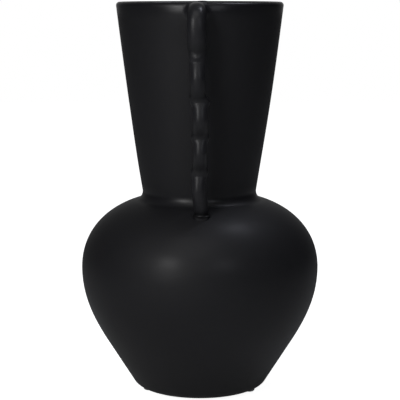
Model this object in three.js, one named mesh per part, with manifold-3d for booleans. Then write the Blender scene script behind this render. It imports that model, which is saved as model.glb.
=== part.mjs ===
// A tall two-handled vase of black-glazed stoneware, shaped like an amphora of the Greek and Roman family.
// The belly and the neck are thrown as two pieces and luted face to face at the waist. Two pulled strap
// handles, each pressed into five beads by four finger pinches, run from the lip down to the shoulder.
// Three soft bumpers are stuck under the foot. Millimetres, +Z up, the origin on the table below the axis,
// one handle towards -Y and the other towards +Y.

import * as THREE from "three";
import { mergeVertices } from "three/addons/utils/BufferGeometryUtils.js";
import Module from "manifold-3d";

// Heights, above the table
const VASE_HEIGHT = 330;
const WAIST_HEIGHT = 171;
const BELLY_HEIGHT = 106;
const PAD_HEIGHT = 2.3;

// The outside, from the foot up: radii, and leans from the vertical in degrees
const FOOT_RADIUS = 48;
const FOOT_LEAN = 74;
const HEEL_RADIUS = 57.1;
const HEEL_RISE = 5.4;
const FLANK_LEAN = 32;
const FLANK_LENGTH = 41.7;
const BELLY_RADIUS = 100.8;
const SHOULDER_LEAN = 73.6;
const CREASE_ROUND = 7.8;
const WAIST_RADIUS = 48.2;
const NECK_LEAN_LOW = 9.3;
const NECK_LEAN_HIGH = 6.9;
const LIP_RADIUS = 69.9;
const LIP_ROUND = 3;

// How far a stretch's two end tangents reach, for one unit of the distance between its ends
const HEEL_REACH = 0.365;
const FLANK_REACH = 0.358;
const SHOULDER_REACH = 0.389;
const NECK_REACH = 0.349;

// The clay
const WALL = 5.5;
const FLOOR_THICKNESS = 7;
const FOOT_RING_WIDTH = 11;
const FOOT_RECESS = 2;
const FOOT_RECESS_BEVEL = 1.5;

// The handles: one centre line in a plane through the axis, a width across it, and a half depth on either
// side of it. The pinches press only the outer side in. Their places are shares of the drop to the shoulder.
const ELBOW_DROP = 28;
const ELBOW_STANDOFF = 17.7;
const ELBOW_REACH_OUT = 17.5;
const ELBOW_REACH_DOWN = 12.5;
const ROOT_DROP = 6.9;
const ROOT_WIDTH = 21;
const ROOT_FLARE_LENGTH = 9;
const HANDLE_FOOT_RADIUS = 65.5;
const HANDLE_FOOT_LEAN = 9;
const HANDLE_LEG_REACH = 0.34;
const HANDLE_BURIED = 6;
const TOP_BEAD_WIDTH = 15;
const BEAD_WIDTH = 12.2;
const PINCH_WIDTH = 15.5;
const HANDLE_END_WIDTH = 10.6;
const STRAP_IN = 5;
const TOP_BEAD_OUT = 7.2;
const BEAD_OUT = 8.6;
const PINCH_OUT = 4.2;
const ROOT_OUT = 6.2;
const HANDLE_END_OUT = 4.2;
const PINCH_SHARES = [0.2265, 0.4264, 0.6128, 0.7755];
const BEAD_FULLEST = 0.45;
const SECTION_SQUARENESS = 0.9;
const SLIP_GAP = 0.3;

// The bumpers: their angles round the foot, in degrees from the front handle towards +X
const PAD_RADIUS = 5;
const PAD_TIP_RADIUS = 3.2;
const PAD_EDGE = 0.5;
const PAD_RING_RADIUS = 45.6;
const PADS = { pad_right: 67, pad_left: -72.5, pad_back: 180 };

// How finely the surfaces are cut
const SECTORS = 48;
const PAD_SECTORS = 20;
const RINGS_PER_HANDLE = 50;
const SECTION_POINTS = 14;

const glaze = { color: 0x17181b, roughness: 0.55, metalness: 0 };
const clear = { color: 0xc6c8c9, roughness: 0.35, metalness: 0 };

const wasm = await Module();
wasm.setup();

// A point of the outline holds its radius, its height and the elevation of its outward normal in radians.
function outlinePoint(radius, height, elevationDegrees) {
  return { radius, height, normal: THREE.MathUtils.degToRad(elevationDegrees) };
}

// A cubic stretch between two outline points, with its tangents square to their normals.
function stretch(from, to, reach, steps) {
  const span = reach * Math.hypot(to.radius - from.radius, to.height - from.height);
  const start = new THREE.Vector2(from.radius, from.height);
  const end = new THREE.Vector2(to.radius, to.height);
  const leaving = new THREE.Vector2(-Math.sin(from.normal), Math.cos(from.normal)).multiplyScalar(span);
  const arriving = new THREE.Vector2(-Math.sin(to.normal), Math.cos(to.normal)).multiplyScalar(span);
  const curve = new THREE.CubicBezierCurve(start, start.clone().add(leaving), end.clone().sub(arriving), end);
  const points = [];
  for (let i = 1; i <= steps; i++) {
    const place = curve.getPoint(i / steps);
    const along = curve.getTangent(i / steps);
    points.push({ radius: place.x, height: place.y, normal: Math.atan2(-along.x, along.y) });
  }
  return points;
}

// A round stretch about a centre, its normal turning from one elevation to the other. A hollow one, such as
// the crease at the waist, has its centre outside the clay, so its radius is negative.
function round(centre, radius, fromDegrees, toDegrees, steps) {
  const points = [];
  for (let i = 1; i <= steps; i++) {
    const normal = THREE.MathUtils.degToRad(fromDegrees + ((toDegrees - fromDegrees) * i) / steps);
    const across = centre.x + radius * Math.cos(normal);
    points.push({ radius: across, height: centre.y + radius * Math.sin(normal), normal });
  }
  return points;
}

const creaseCentre = new THREE.Vector2(WAIST_RADIUS + CREASE_ROUND, WAIST_HEIGHT);
const lipRound = Math.min(LIP_ROUND, 0.8 * WALL);
const lipCrown = LIP_RADIUS - lipRound;

// The belly's outside, from the edge of its flat foot to the waist.
function bellyOutside() {
  const foot = outlinePoint(FOOT_RADIUS, PAD_HEIGHT, -FOOT_LEAN);
  const heel = outlinePoint(HEEL_RADIUS, PAD_HEIGHT + HEEL_RISE, -FLANK_LEAN);
  const flank = outlinePoint(
    heel.radius + FLANK_LENGTH * Math.sin(-heel.normal),
    heel.height + FLANK_LENGTH * Math.cos(heel.normal),
    -FLANK_LEAN,
  );
  const widest = outlinePoint(BELLY_RADIUS, BELLY_HEIGHT, 0);
  const shoulder = round(creaseCentre, -CREASE_ROUND, SHOULDER_LEAN, SHOULDER_LEAN, 1)[0];
  return [
    foot,
    ...stretch(foot, heel, HEEL_REACH, 4),
    flank,
    ...stretch(flank, widest, FLANK_REACH, 7),
    ...stretch(widest, shoulder, SHOULDER_REACH, 11),
    ...round(creaseCentre, -CREASE_ROUND, SHOULDER_LEAN, 0, 5),
  ];
}

// The neck's outside, from the waist to the crown of the lip.
function neckOutside() {
  const waist = outlinePoint(WAIST_RADIUS, WAIST_HEIGHT, 0);
  const collar = round(creaseCentre, -CREASE_ROUND, 0, -NECK_LEAN_LOW, 1)[0];
  const lipCentre = new THREE.Vector2(lipCrown, VASE_HEIGHT - lipRound);
  const lipEdge = round(lipCentre, lipRound, -NECK_LEAN_HIGH, -NECK_LEAN_HIGH, 1)[0];
  return [
    waist,
    collar,
    ...stretch(collar, lipEdge, NECK_REACH, 8),
    ...round(lipCentre, lipRound, -NECK_LEAN_HIGH, 90, 6),
  ];
}

// Moves each point of an outline along its normal.
function offset(outline, distance) {
  return outline.map(({ radius, height, normal }) => ({
    radius: radius + distance * Math.cos(normal),
    height: height + distance * Math.sin(normal),
    normal,
  }));
}

// The place on a straight piece of outline that has the given height.
function crossing(low, high, height) {
  const share = (height - low.height) / (high.height - low.height);
  return { radius: low.radius + share * (high.radius - low.radius), height, normal: low.normal };
}

// A lathe about +Z. Its first point is towards -Y, so that each handle's middle plane meets an edge.
function turned(outline, sectors) {
  const profile = outline.map(({ radius, height }) => new THREE.Vector2(Math.max(radius, 0), height));
  return new THREE.LatheGeometry(profile, sectors).rotateX(Math.PI / 2);
}

// The belly: a recessed foot ring, the outside, the collar's flat joint face, and the inside down to its floor.
function bellyGeometry() {
  const outside = bellyOutside();
  const floorHeight = PAD_HEIGHT + FOOT_RECESS + FLOOR_THICKNESS;
  const ringInside = FOOT_RADIUS - FOOT_RING_WIDTH;
  const underside = [
    outlinePoint(0, PAD_HEIGHT + FOOT_RECESS, -90),
    outlinePoint(ringInside - FOOT_RECESS_BEVEL, PAD_HEIGHT + FOOT_RECESS, -90),
    outlinePoint(ringInside, PAD_HEIGHT, -90),
  ];
  const wallInside = offset(outside, -WALL);
  const first = wallInside.findIndex(({ height }) => height > floorHeight);
  const inside = wallInside.slice(first);
  inside.unshift(crossing(wallInside[first - 1], wallInside[first], floorHeight));
  inside.reverse();
  return turned([...underside, ...outside, ...inside, outlinePoint(0, floorHeight, 90)], SECTORS);
}

// The neck: the joint face, the outside, the lip's two rounds, and the inside back down to the joint face.
function neckGeometry() {
  const outside = neckOutside();
  const innerRound = WALL - lipRound;
  const innerCentre = new THREE.Vector2(lipCrown, VASE_HEIGHT - innerRound);
  const lipInside = round(innerCentre, innerRound, 90, 180 - NECK_LEAN_HIGH, 4);
  const lipFoot = lipInside[lipInside.length - 1];
  const wallInside = offset(outside, -WALL).filter(({ height, normal }) => normal <= 0 && height < lipFoot.height);
  wallInside.reverse();
  const loop = [...outside, ...lipInside, ...wallInside];
  return turned([...loop, outside[0]], SECTORS);
}

// A closed mesh as a manifold solid, with its shared corners merged and its flat slivers left out.
function solid(geometry) {
  const bare = geometry.clone();
  bare.deleteAttribute("normal");
  bare.deleteAttribute("uv");
  const merged = mergeVertices(bare, 1e-4);
  const corners = merged.index.array;
  const kept = [];
  for (let i = 0; i < corners.length; i += 3) {
    const [a, b, c] = corners.slice(i, i + 3);
    if (a !== b && b !== c && c !== a) kept.push(a, b, c);
  }
  const mesh = new wasm.Mesh({
    numProp: 3,
    vertProperties: new Float32Array(merged.attributes.position.array),
    triVerts: new Uint32Array(kept),
  });
  return new wasm.Manifold(mesh);
}

function fromSolid(body) {
  const mesh = body.getMesh();
  const geometry = new THREE.BufferGeometry();
  geometry.setAttribute("position", new THREE.BufferAttribute(mesh.vertProperties.slice(), 3));
  geometry.setIndex(new THREE.BufferAttribute(mesh.triVerts.slice(), 1));
  geometry.computeVertexNormals();
  return geometry;
}

// The outside's radius at a height, on the neck or on the shoulder.
function outsideRadius(outline, height) {
  const above = outline.findIndex((point) => point.height >= height);
  return crossing(outline[above - 1], outline[above], height).radius;
}

// The shoulder's point at a radius, between the crease and the widest ring.
function shoulderPoint(radius) {
  const shoulder = bellyOutside().filter(({ height }) => height >= BELLY_HEIGHT);
  const beyond = shoulder.findIndex((point) => point.radius <= radius);
  const [outer, inner] = [shoulder[beyond - 1], shoulder[beyond]];
  const share = (outer.radius - radius) / (outer.radius - inner.radius);
  return new THREE.Vector2(radius, outer.height + share * (inner.height - outer.height));
}

// The handle's centre line: out from the lip, round the elbow, and down beside the neck onto the shoulder.
// It starts and ends inside the clay, so that the cut below leaves a fitted face at each end.
function handleRoute() {
  const elbowHeight = VASE_HEIGHT - ELBOW_DROP;
  const elbow = new THREE.Vector2(outsideRadius(neckOutside(), elbowHeight) + ELBOW_STANDOFF, elbowHeight);
  const root = new THREE.Vector2(LIP_RADIUS - WALL - HANDLE_BURIED, VASE_HEIGHT - ROOT_DROP);
  const landing = shoulderPoint(HANDLE_FOOT_RADIUS);
  const footLean = THREE.MathUtils.degToRad(HANDLE_FOOT_LEAN);
  const down = new THREE.Vector2(0, -1);
  const into = new THREE.Vector2(-Math.sin(footLean), -Math.cos(footLean));
  const reach = HANDLE_LEG_REACH * elbow.distanceTo(landing);
  const straight = new THREE.Vector2(LIP_RADIUS, root.y);
  const route = new THREE.CurvePath();
  route.add(new THREE.LineCurve(root, straight));
  route.add(
    new THREE.CubicBezierCurve(
      straight,
      straight.clone().add(new THREE.Vector2(ELBOW_REACH_OUT, 0)),
      elbow.clone().addScaledVector(down, -ELBOW_REACH_DOWN),
      elbow,
    ),
  );
  route.add(
    new THREE.CubicBezierCurve(
      elbow,
      elbow.clone().addScaledVector(down, reach),
      landing.clone().addScaledVector(into, -reach),
      landing,
    ),
  );
  route.add(new THREE.LineCurve(landing, landing.clone().addScaledVector(into, HANDLE_BURIED)));
  return { route, landingHeight: landing.y };
}

// How full the strap is at a height: 1 on a bead's crest and 0 in a pinch. It is a raised cosine, skewed so
// that the crest lies above the bead's middle. The first bead is full from the lip.
function fullness(height, landingHeight) {
  const drop = (VASE_HEIGHT - height) / (VASE_HEIGHT - landingHeight);
  const stops = [0, ...PINCH_SHARES, 1];
  const bead = THREE.MathUtils.clamp(stops.findIndex((stop) => stop > drop) - 1, 0, stops.length - 2);
  const across = THREE.MathUtils.clamp((drop - stops[bead]) / (stops[bead + 1] - stops[bead]), 0, 1);
  const place = bead === 0 ? Math.max(across, BEAD_FULLEST) : across;
  const swung = place < BEAD_FULLEST ? place / BEAD_FULLEST / 2 : 1 - (1 - place) / (1 - BEAD_FULLEST) / 2;
  return drop >= 1 ? 0 : 0.5 - 0.5 * Math.cos(2 * Math.PI * swung);
}

// The strap's width and its outer half depth at a point of the centre line.
function strapSizes(centre, landingHeight) {
  const lastPinch = VASE_HEIGHT - PINCH_SHARES[PINCH_SHARES.length - 1] * (VASE_HEIGHT - landingHeight);
  const firstPinch = VASE_HEIGHT - PINCH_SHARES[0] * (VASE_HEIGHT - landingHeight);
  const full = fullness(centre.y, landingHeight);
  const ending = THREE.MathUtils.smoothstep(lastPinch - centre.y, 0, lastPinch - landingHeight);
  const onTopBead = centre.y > firstPinch;
  const beadWidth = onTopBead ? TOP_BEAD_WIDTH : BEAD_WIDTH;
  const beadOut = onTopBead ? TOP_BEAD_OUT : BEAD_OUT;
  const pinchWidth = THREE.MathUtils.lerp(PINCH_WIDTH, HANDLE_END_WIDTH, ending);
  const pinchOut = THREE.MathUtils.lerp(PINCH_OUT, HANDLE_END_OUT, ending);
  const atRoot = centre.y > VASE_HEIGHT - ELBOW_DROP;
  const rooted = atRoot ? THREE.MathUtils.clamp(1 - (centre.x - LIP_RADIUS) / ROOT_FLARE_LENGTH, 0, 1) ** 2 : 0;
  return {
    width: THREE.MathUtils.lerp(THREE.MathUtils.lerp(pinchWidth, beadWidth, full), ROOT_WIDTH, rooted),
    out: THREE.MathUtils.lerp(THREE.MathUtils.lerp(pinchOut, beadOut, full), ROOT_OUT, rooted),
  };
}

// The strap: a rounded section carried along the centre line, wider and thinner where it is pinched.
function strapGeometry() {
  const { route, landingHeight } = handleRoute();
  const positions = [];
  for (let i = 0; i <= RINGS_PER_HANDLE; i++) {
    const centre = route.getPointAt(i / RINGS_PER_HANDLE);
    const along = route.getTangentAt(i / RINGS_PER_HANDLE);
    const { width, out } = strapSizes(centre, landingHeight);
    for (let j = 0; j < SECTION_POINTS; j++) {
      const angle = (2 * Math.PI * j) / SECTION_POINTS;
      const side = Math.sign(Math.cos(angle)) * Math.abs(Math.cos(angle)) ** SECTION_SQUARENESS;
      const lift = Math.sign(Math.sin(angle)) * Math.abs(Math.sin(angle)) ** SECTION_SQUARENESS;
      const outward = lift > 0 ? lift * out : lift * STRAP_IN;
      positions.push((side * width) / 2, -(centre.x - along.y * outward), centre.y + along.x * outward);
    }
  }
  const triangles = [];
  for (let i = 0; i < RINGS_PER_HANDLE; i++) {
    for (let j = 0; j < SECTION_POINTS; j++) {
      const next = (j + 1) % SECTION_POINTS;
      const [a, b] = [i * SECTION_POINTS + j, i * SECTION_POINTS + next];
      const [c, d] = [a + SECTION_POINTS, b + SECTION_POINTS];
      triangles.push(a, b, c, b, d, c);
    }
  }
  const last = RINGS_PER_HANDLE * SECTION_POINTS;
  for (let j = 1; j < SECTION_POINTS - 1; j++) {
    triangles.push(0, j + 1, j, last, last + j, last + j + 1);
  }
  const geometry = new THREE.BufferGeometry();
  geometry.setAttribute("position", new THREE.Float32BufferAttribute(positions, 3));
  geometry.setIndex(triangles);
  return geometry;
}

// A handle is the strap without what the vase's own outside, grown by the slip gap, takes from it.
function handleGeometry() {
  const outside = offset([...bellyOutside(), ...neckOutside().slice(1)], SLIP_GAP);
  const first = outside[0];
  const last = outside[outside.length - 1];
  const plug = turned([outlinePoint(0, first.height, -90), ...outside, outlinePoint(0, last.height, 90)], SECTORS);
  return fromSolid(solid(strapGeometry()).subtract(solid(plug)));
}

// A bumper: flat where it is stuck to the foot ring, and domed down to a small flat tip on the table.
function padGeometry() {
  return turned(
    [
      outlinePoint(0, 0, -90),
      outlinePoint(PAD_TIP_RADIUS, 0, -90),
      outlinePoint((PAD_TIP_RADIUS + 2 * PAD_RADIUS) / 3, PAD_HEIGHT / 4, -45),
      outlinePoint(PAD_RADIUS, PAD_HEIGHT - PAD_EDGE, 0),
      outlinePoint(PAD_RADIUS, PAD_HEIGHT, 0),
      outlinePoint(0, PAD_HEIGHT, 90),
    ],
    PAD_SECTORS,
  );
}

function piece(name, geometry, finish) {
  const mesh = new THREE.Mesh(geometry, new THREE.MeshStandardMaterial(finish));
  mesh.name = name;
  return mesh;
}

const vase = new THREE.Group();
vase.add(piece("belly", bellyGeometry(), glaze));
vase.add(piece("neck", neckGeometry(), glaze));

vase.add(piece("handle_front", handleGeometry(), glaze));
const back = piece("handle_back", handleGeometry(), glaze);
back.rotation.z = Math.PI;
vase.add(back);

for (const [name, degrees] of Object.entries(PADS)) {
  const pad = piece(name, padGeometry(), clear);
  const angle = THREE.MathUtils.degToRad(degrees);
  pad.position.set(PAD_RING_RADIUS * Math.sin(angle), -PAD_RING_RADIUS * Math.cos(angle), 0);
  vase.add(pad);
}

export default vase;
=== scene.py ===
# %% [markdown]
# # A black two-handled vase
#
# The real object is a tall ceramic vase in the family of the Greek and Roman amphora. It is taken to be
# 330 mm high, and it is built here as a potter would make it. The belly and the neck are thrown as two pieces
# and luted together at the waist, and two pulled straps, pressed into beads with a finger, become the handles.
# A satin-matte black glaze covers it all down to the foot.
#
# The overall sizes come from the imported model, which this script loads first as a fixed frame. The outline's
# other sizes repeat the ones in that model's source, and the handles are shaped more finely here.

# %% Load the frame
import math
from functools import reduce

import bpy
import numpy as np
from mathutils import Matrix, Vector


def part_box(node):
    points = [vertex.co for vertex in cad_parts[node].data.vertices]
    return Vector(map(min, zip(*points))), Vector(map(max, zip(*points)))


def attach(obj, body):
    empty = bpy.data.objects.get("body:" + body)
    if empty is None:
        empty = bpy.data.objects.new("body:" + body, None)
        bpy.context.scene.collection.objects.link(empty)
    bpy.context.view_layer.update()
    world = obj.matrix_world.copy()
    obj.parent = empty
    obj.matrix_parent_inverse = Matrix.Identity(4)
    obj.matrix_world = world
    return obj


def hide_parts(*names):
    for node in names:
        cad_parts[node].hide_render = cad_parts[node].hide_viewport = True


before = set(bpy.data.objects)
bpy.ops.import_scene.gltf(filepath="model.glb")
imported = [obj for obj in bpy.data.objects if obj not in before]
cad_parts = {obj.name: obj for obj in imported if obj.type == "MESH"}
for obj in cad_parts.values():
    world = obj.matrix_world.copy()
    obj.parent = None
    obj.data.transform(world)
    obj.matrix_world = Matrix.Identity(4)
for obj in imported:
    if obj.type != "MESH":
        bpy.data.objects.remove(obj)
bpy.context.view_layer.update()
mm = 0.001
belly_low, belly_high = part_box("belly")
neck_low, neck_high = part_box("neck")
vase_height = neck_high.z
waist_height = neck_low.z
belly_radius = belly_high.x
lip_radius = neck_high.x
print("vase", round(vase_height / mm), "mm tall,", round(2 * belly_radius / mm), "mm wide")

# %% [markdown]
# ## The camera
#
# A long lens from about 1.2 m, level with the lip and tipped down a little, is how a catalogue shot keeps the
# sides of a vase from leaning. The place and the lens were found by fitting the vase's outline to the photo.

# %% Camera
camera_away = 1.1658
camera_height = 0.341
aim_height = 0.1626
image_width_px = 400
focal_px = 1383.4
axis_column_px = 199.85


def make_camera():
    """A pinhole at the given distance along -Y, tipped down to look at the axis at the aim height."""
    data = bpy.data.cameras.new("camera")
    data.sensor_width = 36
    data.lens = focal_px / image_width_px * data.sensor_width
    camera = bpy.data.objects.new("camera", data)
    aside = (image_width_px / 2 - axis_column_px) / focal_px * camera_away
    camera.location = (aside, -camera_away, camera_height)
    tip = math.atan2(camera_height - aim_height, camera_away)
    camera.rotation_euler = (math.pi / 2 - tip, 0, 0)
    bpy.context.scene.collection.objects.link(camera)
    bpy.context.scene.camera = camera
    return camera


camera = make_camera()
print("lens", round(camera.data.lens, 1), "mm")

# %% [markdown]
# ## Outlines
#
# A thrown pot is a surface of revolution, so its whole shape is one outline. Each point of the outline keeps
# its radius, its height and the direction of its normal, because the inside wall is the outside moved along
# that normal by the thickness of the clay. Smooth stretches are cubic curves and the tight rounds are arcs.

# %% Outline helpers


def stretch(start, end, reach, step=1.5 * mm):
    """A cubic from one outline point to the next.

    A point is (radius, height, normal's elevation). The tangents are square to the normals, and each reaches
    the given share of the distance between the ends.
    """
    p0, p3 = np.array(start[:2]), np.array(end[:2])
    span = reach * np.linalg.norm(p3 - p0)
    p1 = p0 + span * np.array([-math.sin(start[2]), math.cos(start[2])])
    p2 = p3 - span * np.array([-math.sin(end[2]), math.cos(end[2])])
    count = max(int(np.linalg.norm(p3 - p0) / step), 4)
    t = np.linspace(0, 1, count + 1)[1:, None]
    place = (1 - t) ** 3 * p0 + 3 * (1 - t) ** 2 * t * p1 + 3 * (1 - t) * t**2 * p2 + t**3 * p3
    along = (1 - t) ** 2 * (p1 - p0) + 2 * (1 - t) * t * (p2 - p1) + t**2 * (p3 - p2)
    return np.column_stack([place, np.arctan2(-along[:, 0], along[:, 1])])


def arc(centre, radius, start, end, steps):
    """Points on a circle whose normal turns from one elevation to the other, in degrees.

    A hollow arc has a negative radius, because its centre is outside the clay.
    """
    turn = np.radians(np.linspace(start, end, steps + 1))
    return np.column_stack([centre[0] + radius * np.cos(turn), centre[1] + radius * np.sin(turn), turn])


def thicker(outline, distance):
    """Moves every point along its own normal: a negative distance goes into the clay."""
    moved = outline.copy()
    moved[:, 0] += distance * np.cos(outline[:, 2])
    moved[:, 1] += distance * np.sin(outline[:, 2])
    return moved


# %% The two outlines
pad_height = belly_low.z
foot_radius = 48 * mm
foot_lean = 74
heel_radius = 57.1 * mm
heel_rise = 5.4 * mm
flank_lean = 32
flank_length = 41.7 * mm
belly_height = 106 * mm
shoulder_lean = 73.6
crease_round = 7.8 * mm
waist_radius = 48.2 * mm
neck_lean_low = 9.3
neck_lean_high = 6.9
lip_round = 3.0 * mm
wall = 5.5 * mm
heel_step = 0.8 * mm
flank_points = 30
heel_reach = 0.365
flank_reach = 0.358
shoulder_reach = 0.389
neck_reach = 0.349

crease_centre = (waist_radius + crease_round, waist_height)
lip_crown = lip_radius - lip_round
lip_centre = (lip_crown, vase_height - lip_round)


def belly_outline():
    """The belly's outside: the foot's rounded edge, the flank, the belly, the shoulder and the crease."""
    foot = np.array([foot_radius, pad_height, -math.radians(foot_lean)])
    heel = np.array([heel_radius, pad_height + heel_rise, -math.radians(flank_lean)])
    up = flank_length * np.array([math.sin(math.radians(flank_lean)), math.cos(math.radians(flank_lean))])
    flank = np.array([heel[0] + up[0], heel[1] + up[1], heel[2]])
    widest = np.array([belly_radius, belly_height, 0])
    crease = arc(crease_centre, -crease_round, shoulder_lean, 0, steps=24)
    line = np.linspace(heel, flank, flank_points)[1:]
    return np.vstack(
        [
            foot,
            stretch(foot, heel, heel_reach, heel_step),
            line,
            stretch(flank, widest, flank_reach),
            stretch(widest, crease[0], shoulder_reach),
            crease[1:],
        ]
    )


def neck_outline():
    """The neck's outside, from the waist to the crown of the lip."""
    crease = arc(crease_centre, -crease_round, 0, -neck_lean_low, steps=4)
    lip = arc(lip_centre, lip_round, -neck_lean_high, 90, steps=18)
    return np.vstack([crease, stretch(crease[-1], lip[0], neck_reach), lip[1:]])


belly_outside = belly_outline()
neck_outside = neck_outline()
whole_outside = np.vstack([belly_outside, neck_outside[1:]])
print("outline points", len(whole_outside))

# %% [markdown]
# ## From outline to mesh
#
# A turned surface is a function of two parameters: the place along the outline and the angle round the axis.
# Numpy works out all the points at once as a grid, and the faces are the grid's squares. Where the outline
# touches the axis, the ring shrinks to one point with a fan of triangles, so the pole is closed.

# %% Grid to mesh


def grid_faces(rings, around, closed_along):
    """Indices of the squares between neighbouring rings; the last ring joins the first one if asked."""
    last = rings if closed_along else rings - 1
    i = np.arange(last)[:, None]
    j = np.arange(around)[None, :]
    a = i * around + j
    b = i * around + (j + 1) % around
    c = ((i + 1) % rings) * around + (j + 1) % around
    d = ((i + 1) % rings) * around + j
    return np.stack([a, b, c, d], axis=-1).reshape(-1, 4)


def build_mesh(name, points, squares, fans=(), sharp_degrees=40):
    """One mesh object from a grid of points, its squares, and fans of (centre point, ring of indices)."""
    vertices = points.reshape(-1, 3)
    faces = squares.tolist()
    for centre, ring in fans:
        tip = len(vertices)
        vertices = np.vstack([vertices, centre])
        faces += np.column_stack([ring, np.roll(ring, -1), np.full(len(ring), tip)]).tolist()
    mesh = bpy.data.meshes.new(name)
    mesh.from_pydata(vertices.tolist(), [], faces)
    mesh.validate()
    mesh.shade_smooth()
    mesh.set_sharp_from_angle(angle=math.radians(sharp_degrees))
    piece = bpy.data.objects.new(name, mesh)
    bpy.context.scene.collection.objects.link(piece)
    return piece


def turn(outline, around):
    """Revolves (radius, height) about the axis, starting towards -Y and going round by +X."""
    angle = np.linspace(0, 2 * math.pi, around, endpoint=False)
    x = outline[:, :1] * np.sin(angle)
    y = -outline[:, :1] * np.cos(angle)
    z = np.repeat(outline[:, 1:2], around, axis=1)
    return np.stack([x, y, z], axis=-1)


# %% A hand-thrown lean
sway = 0.5 * mm
sway_height = 188 * mm
sway_spread = 42 * mm


def leaned(points):
    """Shifts the waist a little to the left, since thrown clay is never quite true.

    sway * exp(-((z - sway_height) / sway_spread) ** 2)
    """
    shift = sway * np.exp(-(((points[..., 2] - sway_height) / sway_spread) ** 2))
    return points - shift[..., None] * np.array([1, 0, 0])


# %% [markdown]
# ## The belly
#
# The foot is turned: a flat ring round a shallow recess. Inside, the floor is flat and the wall follows the
# outside. Such a belly is thrown as a bowl and closed in to a collar, which is where this mesh ends, face to
# face with the neck.

# %% Belly
around = 288
foot_ring_width = 11 * mm
foot_recess = 2 * mm
recess_bevel = 1.5 * mm
foot_edge = 0.6 * mm
floor_thickness = 7 * mm
floor_clear = 0.3 * mm
inside_stride = 3
pole_share = 0.05


def level_run(radius_from, radius_to, height, count):
    """A flat stretch of outline at one height, without its first point."""
    radii = np.linspace(radius_from, radius_to, count + 1)[1:]
    return np.column_stack([radii, np.full(count, height), np.zeros(count)])


def make_belly():
    """Turns the underside, the outside, the joint face, the inside wall and the floor as one closed outline.

    The inside wall keeps every few points of the outside. The floor runs in to a small ring, and a fan of
    triangles closes it.
    """
    ring_inside = foot_radius - foot_ring_width
    recess_height = pad_height + foot_recess
    floor_height = recess_height + floor_thickness
    under = np.vstack(
        [
            level_run(0, ring_inside - recess_bevel, recess_height, count=12),
            [[ring_inside, pad_height, 0]],
            level_run(ring_inside, foot_radius - foot_edge, pad_height, count=5),
        ]
    )
    inside = thicker(belly_outside, -wall)
    inside = inside[inside[:, 1] > floor_height + floor_clear][::-inside_stride]
    floor_edge = inside[-1, 0]
    floor = level_run(floor_edge, floor_edge * pole_share, floor_height, count=14)
    outline = np.vstack([under, belly_outside, inside, floor])
    points = leaned(turn(outline, around))
    first = np.arange(around)[::-1]
    last = (len(outline) - 1) * around + np.arange(around)
    fans = [((0, 0, recess_height), first), ((0, 0, floor_height), last)]
    return build_mesh("belly_glazed", points, grid_faces(len(outline), around, False), fans)


belly = make_belly()
print("belly", len(belly.data.vertices), "vertices")

# %% [markdown]
# ## The neck
#
# The neck flares to a rounded lip. Where a handle is luted on, the potter smears slip sideways under the lip,
# which leaves a low swelling on both sides of the handle. It is added to the grid as a push along the radius:
# a bell across the handle times a bump in height that rises steeply under the lip and fades slowly below.

# %% Neck
swelling = 1.3 * mm
swelling_width = 33 * mm
swelling_start = 2.2 * mm
swelling_crest = 8.8 * mm
swelling_end = 40 * mm
swelling_lead = 0.75
swelling_apart = lip_radius / 3
lip_clear = 0.2 * mm


def slip_swelling(points):
    """Pushes the outside outwards near both handles.

    Across: exp(-(|x| / width) ** 3), where |y| is large enough to be near a handle. Down from the lip: a half
    cosine of share ** lead up to the crest, whose steepest part is then close under the lip, and a slow half
    cosine down to 0.
    """
    x, y, z = points[..., 0], points[..., 1], points[..., 2]
    drop = vase_height - z
    across = np.exp(-((np.abs(x) / swelling_width) ** 3)) * (np.abs(y) > swelling_apart)
    share = np.clip((drop - swelling_start) / (swelling_crest - swelling_start), 0, 1)
    rising = 0.5 - 0.5 * np.cos(math.pi * share**swelling_lead)
    beyond = np.clip((drop - swelling_crest) / (swelling_end - swelling_crest), 0, 1)
    fading = 0.5 + 0.5 * np.cos(math.pi * beyond)
    radius = np.hypot(x, y)
    scale = 1 + swelling * across * rising * fading / radius
    return np.stack([x * scale, y * scale, z], axis=-1)


def make_neck():
    """Turns the outside, the lip and the inside as one closed loop. Only the outside has the swellings."""
    inner_round = wall - lip_round
    inner_centre = (lip_crown, vase_height - inner_round)
    lip_inside = arc(inner_centre, inner_round, 90, 180 - neck_lean_high, steps=10)[1:]
    inside = thicker(neck_outside, -wall)
    inside = inside[(inside[:, 1] < lip_inside[-1, 1] - lip_clear) & (inside[:, 2] <= 0)][::-1]
    outside = slip_swelling(turn(neck_outside, around))
    points = np.concatenate([outside, turn(np.vstack([lip_inside, inside]), around)])
    return build_mesh("neck_glazed", leaned(points), grid_faces(len(points), around, True))


neck = make_neck()
print("neck", len(neck.data.vertices), "vertices")

# %% [markdown]
# ## The handles
#
# A pulled strap runs out from the lip, turns down at the elbow and lands on the shoulder. The potter presses
# four pinches into its front, and each press pushes some clay down against the next bead. So a bead starts
# abruptly, is fullest near its middle or above it, and tapers into the flat of the next pinch. A press also
# spreads the strap sideways. Carried along the path, an oval with these widths and depths makes the handle.
# How deep the beads are and how far the handle stands off are guesses, since the photo shows it face on.

# %% Handle path
elbow_drop = 30.5 * mm
elbow_standoff = 17.7 * mm
elbow_reach_out = 17.5 * mm
elbow_reach_down = 11 * mm
root_drop = 6.9 * mm
handle_foot_radius = 65.5 * mm
handle_foot_lean = 9
leg_reach = 0.34
buried = 2.5 * mm
stations = 420
section_points = 72
end_crowding = 0.7


def cubic(p0, p1, p2, p3, count=300):
    """Points of a cubic curve."""
    t = np.linspace(0, 1, count)[:, None]
    return (1 - t) ** 3 * p0 + 3 * (1 - t) ** 2 * t * p1 + 3 * (1 - t) * t**2 * p2 + t**3 * p3


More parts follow.
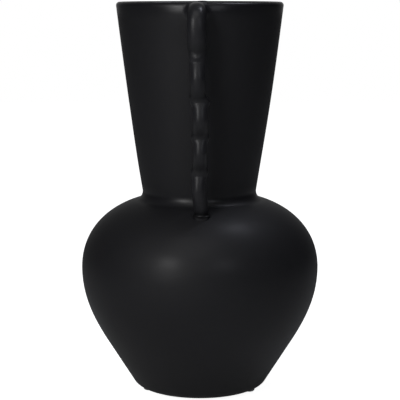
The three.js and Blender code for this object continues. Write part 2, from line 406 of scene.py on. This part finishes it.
def handle_path():
    """The centre line in (radius, height), with its points closer together near both ends.

    The place of station u is length * (u - crowding * sin(2 pi u) / (2 pi)).
    """
    elbow_height = vase_height - elbow_drop
    elbow = np.array([np.interp(elbow_height, neck_outside[:, 1], neck_outside[:, 0]), elbow_height])
    elbow[0] += elbow_standoff
    root = np.array([lip_radius, vase_height - root_drop])
    shoulder = belly_outside[belly_outside[:, 1] > belly_height]
    landing = np.array([handle_foot_radius, np.interp(-handle_foot_radius, -shoulder[:, 0], shoulder[:, 1])])
    down = np.array([0, -1])
    into = -np.array([math.sin(math.radians(handle_foot_lean)), math.cos(math.radians(handle_foot_lean))])
    reach = leg_reach * np.linalg.norm(elbow - landing)
    out = np.array([1, 0])
    line = np.vstack(
        [
            root - buried * out,
            cubic(root, root + elbow_reach_out * out, elbow - elbow_reach_down * down, elbow),
            cubic(elbow, elbow + reach * down, landing - reach * into, landing)[1:],
            landing + buried * into,
        ]
    )
    length = np.concatenate([[0], np.cumsum(np.linalg.norm(np.diff(line, axis=0), axis=1))])
    u = np.linspace(0, 1, stations)
    place = length[-1] * (u - end_crowding * np.sin(2 * math.pi * u) / (2 * math.pi))
    path = np.column_stack([np.interp(place, length, line[:, 0]), np.interp(place, length, line[:, 1])])
    return path, place, landing


path, path_length, landing = handle_path()
print("handle", round(path_length[-1] / mm), "mm along its middle")

# %% Beads and pinches
# Each list goes from the top bead down. Starts, crests, ends, arches and spreads are shares of a bead's
# length. A drift to the left is below 0.
bead_tops = np.array([290.0, 253.2, 224.1, 196.2]) * mm
bead_widths = np.array([15.0, 12.4, 12.8, 11.6, 11.8]) * mm
pinch_widths = np.array([13.6, 16.0, 14.6, 14.2, 10.6]) * mm
bead_rises = np.array([3.0, 4.8, 5.0, 4.4, 4.6]) * mm
bead_starts = np.array([0.0, 0.15, 0.01, 0.01, 0.06])
bead_crests = np.array([0.52, 0.50, 0.46, 0.42, 0.38])
bead_ends = np.array([0.98, 0.96, 0.96, 0.96, 1.0])
bead_fades = np.array([1.3, 1.3, 1.3, 1.3, 1.1])
bead_ridges = np.array([0.0, 1.1, 0.0, 0.0, 0.0]) * mm
ridge_place = 0.065
ridge_width = 0.045
ridge_side = 0.5
ramp_power = 1.5
strap_out = 4.2 * mm
strap_in = 5.0 * mm
arch_top = 0.06
arch_bottom = 0.10
spread_above = 0.18
spread_below = 0.2
drift_heights = np.array([160, 184, 200, 214, 228, 240, 253, 257.5, 278, 291, 310, 332]) * mm
drift_values = np.array([1.2, -1.0, -0.1, 0.2, 0.4, 0.4, 0.2, -1.6, -1.9, -2.0, -2.5, -2.1]) * mm


def smooth(share):
    """An S-shaped ramp from 0 to 1: share ** 2 * (3 - 2 * share)."""
    return share * share * (3 - 2 * share)


def strap_sizes(height):
    """Which bead each height is in, its share of that bead, the strap's width there and its sideways drift.

    The strap is as wide as the bead over most of it, and spreads to the pinch's width at both ends.
    """
    stops = np.concatenate([[vase_height], bead_tops, [landing[1]]])
    bead = np.clip(np.searchsorted(-stops, -height, side="right") - 1, 0, len(bead_tops))
    share = np.clip((stops[bead] - height) / (stops[bead] - stops[bead + 1]), 0, 1)
    share = np.where(bead == 0, np.maximum(share, bead_crests[0]), share)
    pinch = np.where(share < bead_crests[bead], np.maximum(bead - 1, 0), bead)
    inward = smooth(np.clip(np.minimum(share / spread_above, (1 - share) / spread_below), 0, 1))
    width = pinch_widths[pinch] * (1 - inward) + bead_widths[bead] * inward
    knot = np.clip(np.searchsorted(drift_heights, height) - 1, 0, len(drift_heights) - 2)
    part = np.clip((height - drift_heights[knot]) / (drift_heights[knot + 1] - drift_heights[knot]), 0, 1)
    upward = smooth(part)
    drift = drift_values[knot] * (1 - upward) + drift_values[knot + 1] * upward
    return bead, share, width, drift


def bead_relief(bead, share, side):
    """How far a bead stands above the strap at a share of its length and a share of the half width.

    ramp = 1 - (1 - (share - start) / (crest - start)) ** power, a steep slope that rounds off at the crest
    fall = (1 - ((share - crest) / (end - crest)) ** 2) ** fade, which runs out softly for a fade above 1
    Both ends are arched: the sides start later and end sooner, by the arch times side ** 2.
    A ridge of clay pushed up by the press: exp(-((share - place) / width) ** 2 - (side / ridge_side) ** 2).
    All of it fades towards the strap's sides: (1 - side ** 4) ** 0.5.
    """
    start, crest, end = bead_starts[bead][:, None], bead_crests[bead][:, None], bead_ends[bead][:, None]
    upper = np.clip((share[:, None] - arch_top * side**2 - start) / (crest - start), 0, 1)
    lower = np.clip((share[:, None] + arch_bottom * side**2 - crest) / (end - crest), 0, 1)
    full = (1 - (1 - upper) ** ramp_power) * (1 - lower**2) ** bead_fades[bead][:, None]
    along_ridge = (share[:, None] - arch_top * side**2 - ridge_place) / ridge_width
    ridge = np.exp(-(along_ridge**2) - (side / ridge_side) ** 2)
    across = (1 - side**4) ** 0.5
    return (bead_rises[bead][:, None] * full + bead_ridges[bead][:, None] * ridge) * across


# %% Handle surface
root_fillet = 4.0 * mm
root_fillet_start = 0.8 * mm
foot_fillet = 1.8 * mm
foot_fillet_start = 1.2 * mm
bend_length = 2 * root_fillet
section_power = 0.95


def fillet(distance, radius):
    """How far a round fillet has spread at a distance from the wall it meets: r - sqrt(r^2 - (r - d)^2)."""
    near = np.clip(1 - distance / radius, 0, 1)
    return radius * (1 - np.sqrt(1 - near**2))


def carry_section(bead, share, width, out, back, drift):
    """Carries the section along the path: an oval, with the bead's relief on the side away from the axis."""
    along = np.gradient(path, axis=0)
    along /= np.linalg.norm(along, axis=1, keepdims=True)
    outward = np.column_stack([-along[:, 1], along[:, 0]])
    angle = np.linspace(0, 2 * math.pi, section_points, endpoint=False)
    side = np.sign(np.cos(angle)) * np.abs(np.cos(angle)) ** section_power
    lift = np.sign(np.sin(angle)) * np.abs(np.sin(angle)) ** section_power
    relief = bead_relief(bead, share, side)
    depth = np.where(lift > 0, out[:, None] * lift + relief, back[:, None] * lift)
    x = drift[:, None] + width[:, None] / 2 * side
    radius = path[:, :1] + outward[:, :1] * depth
    height = path[:, 1:] + outward[:, 1:] * depth
    return x, radius, height


def make_handle(name, turned_round):
    """The strap with a fillet at the lip and a smaller one at the shoulder; the far one is turned half round.

    Near the lip the section is bent to follow the round neck, which eases off along the path.
    """
    bead, share, width, drift = strap_sizes(path[:, 1])
    at_root = fillet(path_length - buried - root_fillet_start, root_fillet)
    at_foot = fillet(path_length[-1] - buried - path_length - foot_fillet_start, foot_fillet)
    width = width + 2 * at_root + 2 * at_foot
    back = strap_in + at_root + at_foot
    out = strap_out + at_foot
    x, radius, height = carry_section(bead, share, width, out, back, drift)
    bent = np.sqrt(np.maximum(radius**2 - x**2, 0))
    weight = np.clip(1 - (path_length - buried) / bend_length, 0, 1)[:, None]
    reach = radius + (bent - radius) * weight
    flip = -1 if turned_round else 1
    points = np.stack([x * flip, -reach * flip, height], axis=-1)
    ends = [(points[0].mean(0), np.arange(section_points)[::-1])]
    last = (stations - 1) * section_points + np.arange(section_points)
    ends.append((points[-1].mean(0), last))
    return build_mesh(name, points, grid_faces(stations, section_points, False), ends, sharp_degrees=60)


handle_front = make_handle("handle_front_glazed", False)
handle_back = make_handle("handle_back_glazed", True)
print("handles", len(handle_front.data.vertices), "vertices each")

# %% [markdown]
# ## The bumpers
#
# Three clear stick-on bumpers keep the rough foot off the furniture. Each one is a small moulded dome, flat
# where it is stuck, with a soft edge. Its outline is turned about its own axis and moved to its place.

# %% Bumpers
pad_tip = 3.2 * mm
pad_tip_inside = 0.5
pad_bulge = 0.8
pad_edge = 0.1 * mm
pad_steps = 14
pad_around = 48


def make_pad(node):
    """A dome whose outline is a quarter oval from the flat tip up to the side, then the sticky flat top."""
    low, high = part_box(node)
    middle = (low + high) / 2
    radius, height = (high.x - low.x) / 2, high.z - low.z
    quarter = np.linspace(0, math.pi / 2, pad_steps)
    bulge = np.column_stack(
        [pad_tip + (radius - pad_tip) * np.sin(quarter), height * pad_bulge * (1 - np.cos(quarter))]
    )
    top = [[radius, height - pad_edge], [radius - pad_edge, height]]
    outline = np.vstack([[[pad_tip * pad_tip_inside, 0]], bulge, top])
    points = turn(outline, pad_around) + np.array([middle.x, middle.y, 0])
    ring = np.arange(pad_around)
    last = (len(outline) - 1) * pad_around + ring
    fans = [((middle.x, middle.y, 0), ring[::-1]), ((middle.x, middle.y, height), last)]
    squares = grid_faces(len(outline), pad_around, False)
    return build_mesh(node + "_clear", points, squares, fans, sharp_degrees=50)


pads = {node: make_pad(node) for node in ("pad_right", "pad_left", "pad_back")}
print("bumpers", list(pads))

# %% [markdown]
# ## Shader maths
#
# Node trees are easier to read as formulas. This small class wraps one output socket, and Python's operators
# on it add Math nodes, so that a mask can be written as 1 - height / 4.

# %% Sockets as numbers


class Field:
    """A value that changes over the surface: one output socket in a material's tree."""

    def __init__(self, tree, output):
        self.tree = tree
        self.output = output

    def maths(self, operation, *others):
        """One Math node whose first input is this value."""
        node = self.tree.nodes.new("ShaderNodeMath")
        node.operation = operation
        for entry, value in zip(node.inputs, (self, *others)):
            plug(self.tree, entry, value)
        return Field(self.tree, node.outputs[0])

    def __add__(self, other):
        return self.maths("ADD", other)

    __radd__ = __add__

    def __mul__(self, other):
        return self.maths("MULTIPLY", other)

    __rmul__ = __mul__

    def __sub__(self, other):
        return self.maths("SUBTRACT", other)

    def __rsub__(self, other):
        return (self * -1) + other

    def __truediv__(self, other):
        return self.maths("DIVIDE", other)

    def __pow__(self, other):
        return self.maths("POWER", other)

    def __abs__(self):
        return self.maths("ABSOLUTE")

    def least(self, other):
        return self.maths("MINIMUM", other)

    def most(self, other):
        return self.maths("MAXIMUM", other)

    def rise(self, low, high):
        """0 below low, 1 above high, and a straight ramp between them."""
        return ((self - low) / (high - low)).most(0).least(1)


def plug(tree, entry, value):
    """Links a field into a socket, or sets a plain value on it."""
    if isinstance(value, Field):
        tree.links.new(value.output, entry)
    else:
        entry.default_value = value


class Finish:
    """A material with one Principled shader, and a method that adds any other node."""

    def __init__(self, name):
        self.material = bpy.data.materials.new(name)
        self.material.use_nodes = True
        self.tree = self.material.node_tree
        self.shader = self.tree.nodes["Principled BSDF"]

    def node(self, kind, settings=None, output=0, **inputs):
        """Adds a node, sets its settings first and then its sockets, and gives back one of its outputs."""
        node = self.tree.nodes.new(kind)
        for key, value in (settings or {}).items():
            setattr(node, key, value)
        for key, value in inputs.items():
            plug(self.tree, node.inputs[key.replace("_", " ")], value)
        return Field(self.tree, node.outputs[output])

    def mix(self, share, first, second):
        """A colour between two colours."""
        node = self.tree.nodes.new("ShaderNodeMix")
        node.data_type = "RGBA"
        for index, value in ((0, share), (6, first), (7, second)):
            plug(self.tree, node.inputs[index], value)
        return Field(self.tree, node.outputs[2])

    def set(self, **sockets):
        """Values or fields for the shader's own sockets."""
        for key, value in sockets.items():
            plug(self.tree, self.shader.inputs[key.replace("_", " ")], value)


# %% [markdown]
# ## The glaze
#
# A satin-matte black glaze scatters light from fine crystals, so its shine is broad. Up close it has a faint
# cloudiness, a grain like orange peel, turning lines that show through from the clay, and a few pinholes.
# It stops short of the foot ring, where the bare stoneware shows a dark warm grey. The handles have a mix of
# their own: a paler copy of the glaze, painted lighter so that the beads look more lit, and painted shade in
# the pinches and just above the handle's foot. The glaze is glossier where it pooled, which is under the lip,
# in the crease and round the handle's foot. The low specular level and the weak coat were fitted to the
# photo's tones together with the lamps.

# %% Glaze
body_roughness = 0.6
handled_roughness = 0.46
pooled_roughness = 0.36
puddle_roughness = 0.28
clay_roughness = 0.85
specular_level = 0.17
coat_weight = 0.07
coat_roughness = 0.3
glaze_dark, glaze_light = (0.0054, 0.0054, 0.0064, 1), (0.0096, 0.0096, 0.0111, 1)
# A paler copy of the glaze for the handles: painted light, so that they look more lit.
painted_lit_dark, painted_lit_light = (0.0080, 0.0080, 0.0094, 1), (0.0138, 0.0138, 0.0158, 1)
# Painted shade for the handle's pinches.
pinch_shade_colour = (0.0058, 0.0058, 0.0068, 1)
# Painted shade for a band just above the handle's foot.
foot_shade_colour = (0.002, 0.002, 0.0024, 1)
clay_dark, clay_light = (0.050, 0.043, 0.037, 1), (0.105, 0.092, 0.080, 1)

# Sizes of the noise, and the places of the masks: how far they lie above or below, and how far they spread
cloud_size = 38 * mm
mottle_size = 5 * mm
grain_size = 1.1 * mm
clay_size = 2.5 * mm
pore_spacing = 9 * mm
bare_start, bare_end = 0.5 * mm, 1.1 * mm
pinch_above = 3 * mm
pinch_spread = 7 * mm
foot_shade_above = 1.5 * mm
foot_shade_spread = 5 * mm
puddle_below, puddle_above = 2 * mm, 1 * mm
crease_below = 1 * mm
crease_spread = 8 * mm
body_pool_start, body_pool_full = 15 * mm, 8 * mm
handle_pool_start, handle_pool_full = 14 * mm, 7 * mm

# How much the noises change the tone and the roughness, and how high they stand in the relief
cloud_tone, mottle_tone = 0.5, 0.35
cloud_satin, grain_satin = 0.12, 0.08
line_scale, line_distortion = 55.0, 1.6
pit_middle, pit_rim = 0.02, 0.055
grain_relief, mottle_relief, line_relief = 0.05, 0.06, 0.05
pit_relief, clay_relief = 0.25, 0.5
bump_strength, bump_depth = 0.5, 0.25 * mm


def coordinates(finish):
    """The Object coordinates of the piece, and its height as a field in metres."""
    place = finish.node("ShaderNodeTexCoord", output=3)
    height = finish.node("ShaderNodeSeparateXYZ", output=2, Vector=place)
    return place, height


def noise(finish, place, size, detail=3.0, roughness=0.5):
    """Noise with features of about the given size in metres, around 0.5."""
    return finish.node(
        "ShaderNodeTexNoise", Vector=place, Scale=1 / size, Detail=detail, Roughness=roughness
    )


def pinch_shade_mask(height):
    """Where the handle gets painted shade: 1 in the middle of each of its pinches, falling to 0 on the beads.
    """
    pinches = [1 - abs(height - top - pinch_above) / pinch_spread for top in bead_tops]
    return reduce(Field.most, pinches).most(0)


def make_glaze(name, satin_roughness, handled=False):
    """Black glaze with cloudiness, grain, turning lines and pinholes, over bare clay at the foot.

    The handles' mix is paler on the beads, painted lighter so they look more lit, and has painted shade in the
    pinches and in a band above the landing. Below that band it has run into a glossier puddle.
    """
    finish = Finish(name)
    place, height = coordinates(finish)
    clouds = noise(finish, place, cloud_size, detail=4)
    mottle = noise(finish, place, mottle_size, detail=3)
    grain = noise(finish, place, grain_size, detail=2)
    bare = 1 - height.rise(pad_height + bare_start, pad_height + bare_end)
    tone = (clouds - 0.5) * cloud_tone + (mottle - 0.5) * mottle_tone + 0.5
    if handled:
        # Painted shade in a band just above where the handle lands.
        hollow = (1 - abs(height - landing[1] - foot_shade_above) / foot_shade_spread).most(0)
        # Painted light: the handles get a paler copy of the glaze.
        glaze_colour = finish.mix(tone, painted_lit_dark, painted_lit_light)
        # Painted shade in the pinches.
        glaze_colour = finish.mix(pinch_shade_mask(height), glaze_colour, pinch_shade_colour)
        glaze_colour = finish.mix(hollow, glaze_colour, foot_shade_colour)
        pooled = height.rise(vase_height - handle_pool_start, vase_height - handle_pool_full)
    else:
        glaze_colour = finish.mix(tone, glaze_dark, glaze_light)
        crease = 1 - abs(height - waist_height + crease_below) / crease_spread
        at_lip = height.rise(vase_height - body_pool_start, vase_height - body_pool_full)
        pooled = crease.most(at_lip).most(0)
    clay_tone = noise(finish, place, clay_size, detail=4)
    clay_colour = finish.mix(clay_tone, clay_dark, clay_light)
    colour = finish.mix(bare, glaze_colour, clay_colour)
    satin = (clouds - 0.5) * cloud_satin + (grain - 0.5) * grain_satin + satin_roughness
    satin = satin - pooled * (satin_roughness - pooled_roughness)
    if handled:
        puddle = 1 - height.rise(landing[1] - puddle_below, landing[1] + puddle_above)
        satin = satin - puddle * (satin_roughness - puddle_roughness)
    roughness = satin * (1 - bare) + bare * clay_roughness
    lines = finish.node(
        "ShaderNodeTexWave",
        {"wave_type": "BANDS", "bands_direction": "Z", "wave_profile": "SIN"},
        output=1,
        Vector=place,
        Scale=line_scale,
        Distortion=line_distortion,
        Detail=2.0,
        Detail_Scale=0.6,
    )
    pores = finish.node("ShaderNodeTexVoronoi", {"feature": "F1"}, Vector=place, Scale=1 / pore_spacing)
    pits = 1 - pores.rise(pit_middle, pit_rim)
    relief = grain * grain_relief + mottle * mottle_relief + lines * line_relief - pits * pit_relief
    relief = relief + bare * clay_tone * clay_relief
    bump = finish.node("ShaderNodeBump", Strength=bump_strength, Distance=bump_depth, Height=relief)
    finish.set(Base_Color=colour, Roughness=roughness, Normal=bump)
    finish.set(Specular_IOR_Level=specular_level, IOR=1.5)
    finish.set(Coat_Weight=(1 - bare) * coat_weight, Coat_Roughness=coat_roughness)
    return finish.material


glaze = make_glaze("black_glaze", body_roughness)
handled_glaze = make_glaze("black_glaze_handled", handled_roughness, handled=True)
print("materials", glaze.name, handled_glaze.name)

# %% Clear plastic
scuff_size = 0.8 * mm
scuff_depth = 0.05 * mm
scuff_satin = 0.2
plastic_roughness = 0.3
clear_share = 0.35
clouded_dark, clouded_light = (0.36, 0.365, 0.37, 1), (0.46, 0.465, 0.47, 1)


def make_clear():
    """Clouded plastic: a mid grey that lets about a third of the light through, with fine scuffs."""
    finish = Finish("clear_bumper")
    place = coordinates(finish)[0]
    scuff = noise(finish, place, scuff_size, detail=3)
    colour = finish.mix(scuff, clouded_dark, clouded_light)
    bump = finish.node("ShaderNodeBump", Strength=0.3, Distance=scuff_depth, Height=scuff)
    satin = (scuff - 0.5) * scuff_satin + plastic_roughness
    finish.set(Base_Color=colour, Roughness=satin, Normal=bump, IOR=1.45)
    finish.set(Transmission_Weight=clear_share)
    return finish.material


clear = make_clear()
print("material", clear.name)

# %% [markdown]
# ## Joining the pieces to the frame
#
# Each fine mesh takes the place of its plain CAD solid and rides on the one body.

# %% Dress the frame
stands_for = {belly: "belly", neck: "neck", handle_front: "handle_front", handle_back: "handle_back"}
for piece, node in stands_for.items():
    piece.data.materials.append(handled_glaze if node.startswith("handle") else glaze)
    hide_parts(node)
    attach(piece, "root")
for node, piece in pads.items():
    piece.data.materials.append(clear)
    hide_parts(node)
    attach(piece, "root")
print("dressed", len(stands_for) + len(pads), "pieces")

# %% [markdown]
# ## Floor, backdrop and light
#
# The photo was taken against white. The white comes from the floor's and the world's own colour as the camera
# sees them. The glaze itself mirrors a dim room and a faint glow of the floor beside it, because the vase in
# the photo has dark edges. Five soft boxes light it: a small one and a larger, lower one to the left of the
# camera, a large one above it, a weak cool one to its right, and a cool one high up on the far right.

# %% Floor
floor_side = 6.0
lit_near = 0.25
lit_far = 1.0
gloss_near = 0.12
gloss_far = 0.4
floor_gloss = 0.07
near_dimming = 0.06
paper_far, paper_near = (0.5, 0.5, 0.5, 1), (0.64, 0.64, 0.64, 1)


def make_floor():
    """A white square, bright to the camera, that still takes the vase's shadow.

    The camera sees its glow, a little weaker near the vase. A mirror ray sees a faint one, and only there.
    """
    half = floor_side / 2
    mesh = bpy.data.meshes.new("floor")
    corners = [(-half, -half, 0), (half, -half, 0), (half, half, 0), (-half, half, 0)]
    mesh.from_pydata(corners, [], [(0, 1, 2, 3)])
    floor = bpy.data.objects.new("floor", mesh)
    bpy.context.scene.collection.objects.link(floor)
    finish = Finish("floor_white")
    place = finish.node("ShaderNodeTexCoord", output=3)
    away = finish.node("ShaderNodeVectorMath", {"operation": "LENGTH"}, output=1, Vector=place)
    near = 1 - away.rise(lit_near, lit_far)
    paper = finish.mix(near, paper_far, paper_near)
    seen = finish.node("ShaderNodeLightPath", output=0)
    mirrored = finish.node("ShaderNodeLightPath", output=3)
    finish.set(Base_Color=paper, Roughness=0.9, Specular_IOR_Level=0.0)
    gloss = mirrored * (1 - away.rise(gloss_near, gloss_far)) * floor_gloss
    finish.set(Emission_Color=seen * (1 - near * near_dimming) + gloss, Emission_Strength=1.0)
    mesh.materials.append(finish.material)
    return floor


make_floor()
print("floor", floor_side, "m across")

# %% World and lamps
room_level = 0.09
room_side = 0.8
wall_level = 0.55
ceiling_level = 0.14


def make_world():
    """White to the camera and through clear plastic, and a dim room to everything else.

    The room is back ** 2 * (1 - side * x) * room + back ** 10 * wall + up ** 2 * ceiling. Back and up are the
    direction's y and z, or 0 below 0. So it is paler to the left, and palest straight behind the vase.
    """
    world = bpy.data.worlds.new("studio")
    bpy.context.scene.world = world
    world.use_nodes = True
    tree = world.node_tree
    path_node = tree.nodes.new("ShaderNodeLightPath")
    camera_ray = Field(tree, path_node.outputs["Is Camera Ray"])
    through = Field(tree, path_node.outputs["Is Transmission Ray"])
    direct = (camera_ray + through).least(1)
    direction = tree.nodes.new("ShaderNodeTexCoord")
    split = tree.nodes.new("ShaderNodeSeparateXYZ")
    tree.links.new(direction.outputs["Generated"], split.inputs[0])
    behind = Field(tree, split.outputs["Y"]).most(0)
    above = Field(tree, split.outputs["Z"]).most(0)
    to_the_left = 1 - Field(tree, split.outputs["X"]) * room_side
    room = behind**2 * to_the_left * room_level + behind**10 * wall_level + above**2 * ceiling_level
    background = tree.nodes["Background"]
    background.inputs["Color"].default_value = (1, 1, 1, 1)
    plug(tree, background.inputs["Strength"], direct.most(room))


def soft_box(name, azimuth, elevation, away, width, height, power, colour=(1, 1, 1)):
    """An area lamp that looks at the vase's middle. Azimuth 0 is the camera's side, and plus is to the right.

    The angles are in degrees, the sizes in metres and the power in watts.
    """
    data = bpy.data.lights.new(name, "AREA")
    data.shape = "RECTANGLE"
    data.size, data.size_y = width, height
    data.energy = power
    data.color = colour
    lamp = bpy.data.objects.new(name, data)
    turn_by, lift = math.radians(azimuth), math.radians(elevation)
    back = np.array(
        [math.sin(turn_by) * math.cos(lift), -math.cos(turn_by) * math.cos(lift), math.sin(lift)]
    )
    lamp.location = np.array([0, 0, vase_height / 2]) + away * back
    lamp.rotation_euler = (math.pi / 2 - lift, 0, turn_by)
    bpy.context.scene.collection.objects.link(lamp)
    return lamp


make_world()
soft_box("key", -31, 26, 1.6, 0.35, 0.35, 9.0)
soft_box("key_low", -31, 10, 1.6, 0.6, 0.6, 4.3)
soft_box("overhead", 110, 67, 1.5, 0.4, 0.4, 5.2, (0.85, 0.88, 1.0))
soft_box("top_front", -12, 58, 1.5, 0.9, 0.9, 4.3)
soft_box("fill", 24, 24, 1.6, 0.4, 0.4, 2.5, (0.9, 0.93, 1.0))

# %% [markdown]
# ## Finish
#
# The view settings stay plain, so that a colour renders as it is written.

# %% Finish
bpy.context.scene.view_settings.view_transform = "Standard"
